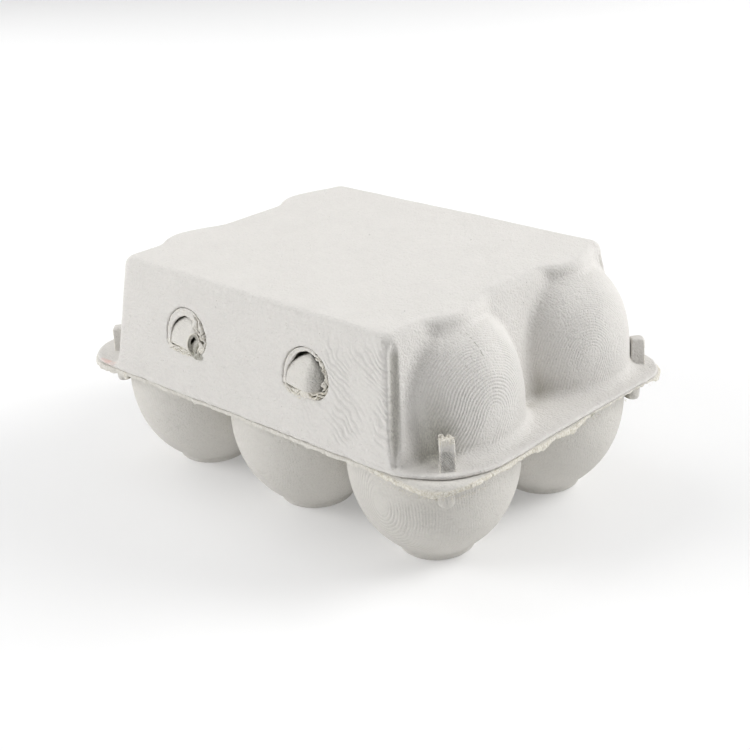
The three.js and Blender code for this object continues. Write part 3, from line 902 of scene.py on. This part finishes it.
class Nodes:
    """Short names for making a material's nodes."""

    def __init__(self, material):
        material.use_nodes = True
        self.tree = material.node_tree
        self.shader = self.tree.nodes["Principled BSDF"]
        coordinates = self.add("ShaderNodeTexCoord").outputs["Object"]
        self.place = self.vector("SCALE", coordinates, scale=1000)

    def put(self, socket, value):
        if hasattr(value, "links"):
            self.tree.links.new(value, socket)
        elif isinstance(value, tuple) and len(value) == 3 and socket.type == "RGBA":
            socket.default_value = (*value, 1)
        else:
            socket.default_value = value

    def fill(self, node, sockets):
        """Set or link inputs of a node, by name or number."""
        for key, value in sockets.items():
            self.put(node.inputs[key], value)

    def add(self, kind, sockets=(), **settings):
        node = self.tree.nodes.new(kind)
        for key, value in settings.items():
            setattr(node, key, value)
        self.fill(node, dict(sockets))
        return node

    def math(self, operation, *values, clamp=False):
        node = self.add("ShaderNodeMath", enumerate(values), operation=operation, use_clamp=clamp)
        return node.outputs[0]

    def times(self, a, b):
        return self.math("MULTIPLY", a, b)

    def vector(self, operation, *values, scale=None):
        node = self.add("ShaderNodeVectorMath", enumerate(values), operation=operation)
        if scale is not None:
            self.put(node.inputs["Scale"], scale)
        return node.outputs["Value" if operation in ("DOT_PRODUCT", "LENGTH") else "Vector"]

    def ramp(self, value, low, high, to_low=0.0, to_high=1.0):
        sockets = {"Value": value, "From Min": low, "From Max": high, "To Min": to_low, "To Max": to_high}
        return self.add("ShaderNodeMapRange", sockets, interpolation_type="SMOOTHSTEP").outputs[0]

    def noise(self, size, detail=2.0, stretch=(1, 1, 1), seed=0.0):
        """Noise of 0 to 1 in lumps of `size` millimetres, stretched by factors along the axes."""
        place = self.vector("MULTIPLY", self.place, tuple(1 / s for s in stretch))
        place = self.vector("ADD", place, (seed, 2 * seed, -seed))
        sockets = {"Vector": place, "Scale": 1 / size, "Detail": detail, "Roughness": 0.55}
        return self.add("ShaderNodeTexNoise", sockets, noise_dimensions="3D").outputs["Fac"]

    def specks(self, spacing, radius, share, seed=0.0):
        """1 in small spots, about one in `share` of the cells of a grid of the spacing."""
        place = self.vector("ADD", self.place, (seed, seed, seed))
        cells = self.add("ShaderNodeTexVoronoi", {"Vector": place, "Scale": 1 / spacing}, feature="F1")
        chosen = self.add("ShaderNodeSeparateColor", {0: cells.outputs["Color"]})
        size = self.times(chosen.outputs[1], radius / spacing)
        spot = self.ramp(self.math("SUBTRACT", cells.outputs["Distance"], size), 0.03, -0.02)
        return self.times(spot, self.math("LESS_THAN", chosen.outputs[0], 1 / share))

    def attribute(self, name):
        return self.add("ShaderNodeAttribute", attribute_name=name).outputs["Fac"]

    def mix(self, factor, a, b):
        return self.add("ShaderNodeMix", {"Factor": factor, 6: a, 7: b}, data_type="RGBA").outputs[2]

    def crease(self, points, width, wobble):
        """1 on a wavering line through the points, in millimetres, falling to 0 at its width."""
        sockets = {"Vector": self.place, "Scale": 0.35}
        shift = self.add("ShaderNodeTexNoise", sockets, noise_dimensions="3D").outputs["Color"]
        centred = self.vector("SUBTRACT", shift, (0.5, 0.5, 0.5))
        place = self.vector("ADD", self.place, self.vector("SCALE", centred, scale=wobble))
        nearest = None
        for start, end in zip(points, points[1:]):
            span = np.subtract(end, start)
            offset = self.vector("SUBTRACT", place, tuple(map(float, start)))
            unit = tuple(map(float, span / (span @ span)))
            share = self.math("ADD", self.vector("DOT_PRODUCT", offset, unit), 0.0, clamp=True)
            foot = self.vector("SCALE", tuple(map(float, span)), scale=share)
            away = self.vector("LENGTH", self.vector("SUBTRACT", offset, foot))
            nearest = away if nearest is None else self.math("MINIMUM", nearest, away)
        return self.ramp(nearest, width, 0.35 * width)


BROWN_SPECK = (0.30, 0.27, 0.21)
DARK_SPECK = (0.16, 0.15, 0.12)
CRACK_COLOUR = (0.26, 0.25, 0.2)
PINK_SMEAR = (0.80, 0.47, 0.40)
# The colours that shreds of torn pulp run between on an edge, and the dark colours of painted shade at
# the bottom of a pit, a groove or a crevice
TORN_COLOURS = ((0.66, 0.61, 0.49), (0.90, 0.87, 0.79))
PAINTED_SHADE_COLOURS = ((0.13, 0.125, 0.085), (0.40, 0.39, 0.31))
# Painted shade: what the pulp's colour is multiplied by where it is deepest in a hollow
PAINTED_SHADE_TINT = (0.42, 0.41, 0.34)

# Cracks and creases that show, as lines in millimetres: (points, width, depth)
DOME_CRACK = (((88.6, -34.5, 99.3), (92.4, -34.3, 97.2), (95.3, -34.3, 95), (99, -34.7, 91)), 0.28, 0.2)
FLANGE_CRACK = (((104.6, -73.4, 54.4), (106.2, -75.4, 53.6)), 0.35, 0.4)
ROOF_CREASE = (((82.8, -21.4, 106.2), (82.2, 0, 106.2), (81.7, 23.3, 106.2)), 0.3, 0.15)
LID_CREASES = (DOME_CRACK, FLANGE_CRACK, ROOF_CREASE)


def pulp_material(name, colour, creases=()):
    """Dried grey pulp: mottled, flecked and finely rough, cream where torn, with painted olive shade in
    its hollows and painted dark shade in pits and crevices.
    """
    MATERIALS[name] = bpy.data.materials.new(name)
    n = Nodes(MATERIALS[name])
    dark = tuple(0.84 * c for c in colour)
    pale = tuple(min(1, 1.06 * c) for c in colour)
    clouds = n.noise(16, 3)
    grain = n.noise(0.9, 2, seed=5)
    dust = n.noise(0.45, 1, seed=7)
    felt = n.noise(2.4, 3, stretch=(1.6, 1.6, 0.8), seed=9)
    fibre_x = n.noise(0.9, 1, stretch=(5, 0.7, 0.7), seed=13)
    fibre_y = n.noise(0.9, 1, stretch=(0.7, 4, 2), seed=17)

    base = n.mix(n.ramp(clouds, 0.35, 0.65), colour, tuple(1.02 * c for c in colour))
    for texture, start, end, share, tone in (
        (felt, 0.45, 0.75, 0.1, dark),
        (grain, 0.5, 0.74, 0.25, dark),
        (grain, 0.46, 0.3, 0.3, pale),
        (dust, 0.6, 0.75, 0.25, dark),
        (fibre_x, 0.64, 0.74, 0.45, pale),
        (fibre_y, 0.66, 0.76, 0.45, dark),
    ):
        base = n.mix(n.ramp(texture, start, end, 0, share), base, tone)
    small = n.specks(2.4, 0.24, 3)
    large = n.specks(7, 0.42, 4, seed=31)
    base = n.mix(n.times(small, 0.5), base, BROWN_SPECK)
    base = n.mix(n.times(large, 0.7), base, DARK_SPECK)

    marks = n.attribute("marks")
    wave = n.math("SINE", n.times(n.attribute("phase"), 2 * math.pi))
    ripple = n.times(wave, marks)
    base = n.mix(n.ramp(ripple, 0.1, -1, 0, 0.7), base, dark)

    # Painted shade: the pulp turns darker and olive where ambient occlusion finds it deep in a hollow
    hollow = n.add("ShaderNodeAmbientOcclusion", {"Distance": 26 * MM}, samples=8, only_local=True)
    deep = n.ramp(hollow.outputs["AO"], 0.56, 0.16)
    painted_shade_colour = tuple(c * t for c, t in zip(colour, PAINTED_SHADE_TINT))
    base = n.mix(deep, base, painted_shade_colour)

    torn = n.attribute("torn")
    shreds = n.noise(0.5, 3, stretch=(1, 1, 2.2), seed=21)
    base = n.mix(torn, base, n.mix(n.ramp(shreds, 0.36, 0.6), *TORN_COLOURS))
    # Painted shade: dark in pits, grooves, crevices and hollows, as the pit attribute gives
    pit = n.attribute("pit")
    base = n.mix(pit, base, n.mix(n.ramp(shreds, 0.4, 0.6), *PAINTED_SHADE_COLOURS))

    height = n.times(ripple, 0.1)
    textures = ((grain, 0.46), (dust, 0.16), (felt, 0.42), (fibre_x, 0.16), (clouds, 0.3))
    for texture, depth in textures:
        height = n.math("ADD", height, n.times(texture, depth))
    height = n.math("ADD", height, n.times(n.times(shreds, torn), 0.45))
    for points, width, depth in creases:
        line = n.crease(points, width, wobble=2.2)
        base = n.mix(n.times(line, 0.6), base, CRACK_COLOUR)
        height = n.math("SUBTRACT", height, n.times(line, depth))
    smear = n.attribute("smear")
    base = n.mix(n.times(smear, 0.55), base, PINK_SMEAR)

    bump = n.add("ShaderNodeBump", {"Distance": MM, "Strength": 1, "Height": height})
    roughness = n.ramp(felt, 0.3, 0.7, 0.88, 0.98)
    n.fill(n.shader, {"Normal": bump.outputs[0], "Base Color": base, "Roughness": roughness})
    n.shader.inputs["Specular IOR Level"].default_value = 0.2


# ---- Stage ----

# In metres
FLOOR_HALF = 4
# Soft lights: (name, place in metres, size, watts)
LIGHTS = (
    ("overhead", (0, 0, 1.5), (2, 2), 9.2),
    ("front_left", (-1.0, -1.2, 0.8), (1, 1), 18.3),
    ("over_camera", (1.1, -1.1, 1.0), (0.8, 0.8), 2.6),
    ("back", (0, 1.6, 0.8), (1.2, 0.8), 4.7),
    ("left", (-1.6, 0, 0.7), (1.2, 0.8), 5.0),
    ("back_right", (1.1, 1.1, 1.0), (1, 1), 25.4),
    ("top_left", (-0.9, -0.1, 1.3), (0.8, 0.8), 3.3),
)


def make_stage():
    mesh = bpy.data.meshes.new("floor")
    corners = [(sx * FLOOR_HALF, sy * FLOOR_HALF, 0) for sx, sy in CORNER_SIDES]
    mesh.from_pydata(corners, [], [(0, 2, 3, 1)])
    floor = new_object("floor", mesh)
    material = bpy.data.materials.new("floor_white")
    n = Nodes(material)
    n.shader.inputs["Base Color"].default_value = (0.75, 0.75, 0.75, 1)
    n.shader.inputs["Roughness"].default_value = 1
    # Lit from within a little more the further out it is, as a sweep of white paper with its own light
    away = n.times(n.vector("LENGTH", n.place), MM)
    n.shader.inputs["Emission Color"].default_value = (1, 1, 1, 1)
    n.put(n.shader.inputs["Emission Strength"], n.ramp(away, 0.1, 1.1, 0.2, 0.38))
    mesh.materials.append(material)
    world = bpy.data.worlds.new("studio")
    world.use_nodes = True
    background = world.node_tree.nodes["Background"].inputs
    background["Color"].default_value = (1, 1, 1, 1)
    background["Strength"].default_value = 0.0
    bpy.context.scene.world = world
    bpy.context.scene.view_settings.view_transform = "Standard"
    for name, place, size, watts in LIGHTS:
        light = bpy.data.lights.new(name, "AREA")
        light.energy = watts
        light.shape = "RECTANGLE"
        light.size, light.size_y = size
        lamp = new_object(name, light)
        lamp.location = place
        towards = Vector((0, 0, 0.05)) - Vector(place)
        lamp.rotation_euler = towards.to_track_quat("-Z", "Y").to_euler()


# ---- Making it ----


def make_lid():
    points, faces = lid_surface()
    marks, phase = lid_marks(points)
    smear = smooth_step(7.5, 2, np.abs(points[:, 0] + 93.8)) * smooth_step(-73.6, -75.2, points[:, 1])
    smear = smear * smooth_step(52.9, 53.9, points[:, 2]) * (0.75 + 0.6 * point_noise(points, 2, 305))
    # Painted shade in the grooves and in the hollows by the posts, carried by the pit attribute
    shade = np.maximum(groove_shade(points), corner_shade(points))
    values = {"marks": marks, "phase": phase, "smear": smear, "pit": shade}
    lid = new_piece("lid_shell", points, faces, "lid_pulp", values)
    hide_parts("lid")


def make_posts():
    for number, (px, py, tall, raggedness) in enumerate(POSTS):
        points, faces = post_surface(number, tall, raggedness)
        u, v, height = points.T
        turn = math.radians(45 + 90 * math.floor(math.degrees(math.atan2(py, px)) / 90))
        x = px + u * math.cos(turn) - v * math.sin(turn)
        y = py + u * math.sin(turn) + v * math.cos(turn)
        torn = smooth_step(tall - 3.2, tall - 0.8, height + 0.8 * point_noise(points, 1.2, 306))
        stroke = (v + 0.8 * height) / 1.1 + 0.6 * point_noise(points, 2, 308)
        from_axis = np.minimum(np.abs(u), np.abs(v))
        # Painted highlight: cream along the post's four corner edges
        edges = smooth_step(2.1, 2.9, from_axis) * (0.7 + 0.5 * point_noise(points, 1.2, 309))
        # Painted shade on the middles of the faces below the torn top
        sides = smooth_step(2.2, 1.4, from_axis) * smooth_step(tall - 2, tall - 4, height)
        shade = 0.2 * raggedness * sides * (0.8 + 0.6 * point_noise(points, 0.8, 310))
        values = {
            "torn": np.clip(0.5 * raggedness * torn + 0.5 * edges, 0, 1),
            "pit": np.clip(shade, 0, 1),
            "marks": 1.9 * raggedness * window(0.5, 1.5, 7.5, 9, height),
            "phase": stroke,
        }
        placed = np.stack([x, y, height + FLANGE_TOP], axis=1)
        new_piece(f"post_{number + 1}", placed, faces, "lid_pulp", values)


def make_latch(side, number, centre):
    points, faces = ring_surface(side, number)
    a, u, t = points.T
    low = smooth_step(HOLE_BOTTOM + 6, HOLE_BOTTOM + 1, u)
    right = TORN_RIMS[side] * smooth_step(2, 9, a)
    torn = 0.15 + 0.4 * low + 0.25 * point_noise(points, 0.9, 311) + 0.35 * right
    # Painted shade: darker in the crevices below the band's surface, where it is low or torn
    crevice_shade = 0.9 * smooth_step(0.1, 0.6, np.maximum(right, low)) * smooth_step(-0.55, -1.1, t)
    values = {"torn": np.clip(torn, 0, 1), "pit": crevice_shade}
    new_piece(f"latch_rim_{side}", from_front_wall(a, u, t, centre), faces, "lid_pulp", values)
    points, faces = tongue_surface(side, number)
    a, u, t = points.T
    values = {"torn": 0.4 * smooth_step(20.9, 20.3, u)}
    if side == "left":
        # Painted shade inside the pit torn out of the left tongue
        pit = in_pit(a, u, t)
        values["pit"] = 0.55 * smooth_step(1.16, 1.02, pit)
        values["torn"] = np.maximum(values["torn"], 0.7 * bump_at(pit, 1.18, 0.13))
    new_piece(f"latch_tongue_{side}", from_front_wall(a, u, t, centre), faces, "tray_pulp", values)


def make_pit(centre):
    points, faces = pit_surface()
    # Painted shade: the torn mound at the bottom of the pit coloured dark
    pit = np.clip(0.5 - 0.4 * point_noise(points, 1.4, 312), 0, 1)
    new_piece("latch_tear", from_front_wall(*points.T, centre), faces, "tray_pulp", {"pit": pit})


def make_tray():
    points, faces = tray_surface()
    below = smooth_step(TRAY_BASE - 2, TRAY_BASE - 5, points[:, 2])
    marks, phase = arc_marks(points, BOWL_MARKS, below)
    tray = new_piece("tray_shell", points, faces, "tray_pulp", {"marks": marks, "phase": phase})
    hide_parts("tray")


def make_deckle():
    points, faces = deckle_surface()
    along, outwards, height = points.T
    x, y = on_outline(along, outwards)
    x = np.clip(x, -HALF_LENGTH, HALF_LENGTH)
    y = np.clip(y, -HALF_WIDTH, HALF_WIDTH)
    torn = np.maximum(
        smooth_step(-1.6, -0.5, outwards + 0.3 * point_noise(points, 1.1, 313)),
        smooth_step(TRAY_BASE - 0.4, TRAY_BASE - 1.4, height) * smooth_step(-2.6, -1.4, outwards),
    )
    beside_front = window(*(front_at(x) for x in (-130, -110, 70, 82)), along)
    torn = torn * (0.75 - 0.5 * beside_front) + 0.5 * bump_at(along, front_at(-80.3), 1.6)
    # Painted shade: a dark patch under a flake of the right end, in the gap below it
    hole = bump_at(along, right_end_at(15), 3.5) * bump_at(height, TRAY_BASE + 0.6, 1.2)
    hole = hole * smooth_step(-0.1, 0.2, point_noise(points, 1.1, 317))
    values = {"torn": np.clip(torn, 0, 1), "pit": hole}
    new_piece("tray_deckle", np.stack([x, y, height], axis=1), faces, "tray_pulp", values)


def post_fibres(random):
    """(start, direction, length) of each fibre on the torn tops of the posts."""
    for px, py, tall, raggedness in POSTS:
        for _ in range(round(30 * raggedness)):
            u, v = random.uniform(-2.7, 2.7, 2)
            top = FLANGE_TOP + tall - random.uniform(0.9, 1.8)
            start = (px + (u - v) * 0.707, py + (u + v) * 0.707, top)
            yield start, (0.5 * u, 0.5 * v, random.uniform(0.8, 1.6)), random.uniform(0.7, 1.7)


def edge_fibres(random):
    """The same along the tray's edge, most of them at the near corner and the right end."""
    stretches = (
        (front_at(78), right_end_at(-50), 110),
        (right_end_at(-28), right_end_at(20), 40),
        (0, OUTLINE_LENGTH, 160),
    )
    for along in np.concatenate([random.uniform(*stretch) for stretch in stretches]):
        near = front_at(80) < along < right_end_at(-54)
        x, y = on_outline(along, -0.9)
        x_out, y_out = on_outline(along, 0.2)
        start = (x, y, TRAY_BASE - (2.4 if near else 0.1) - random.uniform(0, 0.9))
        direction = (x_out - x + random.uniform(-0.9, 0.9), y_out - y, random.uniform(-1.6, -0.1))
        yield start, direction, random.uniform(0.4, 1.3)


def latch_fibres(random):
    """The same round the latch holes."""
    for centre, count in zip(LATCH_XS, (26, 60)):
        for _ in range(count):
            low_or_right = random.random() < 0.75
            turn = math.radians(random.uniform(*((-150, 60) if low_or_right else (60, 200))))
            reach = HOLE_HALF_WIDTH - random.uniform(0.3, 2.2)
            a = reach * math.cos(turn)
            u = max(HOLE_SPRING + reach * math.sin(turn), HOLE_BOTTOM + random.uniform(-1, 1.6))
            start = from_front_wall(a, u, random.uniform(-0.7, 0.2), centre)
            a, u = a + random.uniform(-1.3, 1.3), u + random.uniform(-1.2, 1.2)
            end = from_front_wall(a, u, random.uniform(-0.6, 1.0), centre)
            yield start, end - start, random.uniform(0.6, 1.6)


def make_fibres():
    random = np.random.default_rng(71)
    each = [*post_fibres(random), *edge_fibres(random), *latch_fibres(random)]
    points, faces = fibres(*map(np.array, zip(*each)), 0.2, 72)
    for axis in (0, 1):
        points[:, axis] = np.clip(points[:, axis], -FLANGE_HALF[axis], FLANGE_HALF[axis])
    new_piece("torn_fibres", points, faces, "lid_pulp", {"torn": np.full(len(points), 0.9)})


make_stage()
pulp_material("lid_pulp", (0.74, 0.72, 0.69), LID_CREASES)
pulp_material("tray_pulp", (0.70, 0.68, 0.64))
make_lid()
make_posts()
make_tray()
make_deckle()
for number, (side, centre) in enumerate(zip(("left", "right"), LATCH_XS)):
    make_latch(side, number, centre)
make_pit(LATCH_XS[0])
make_fibres()
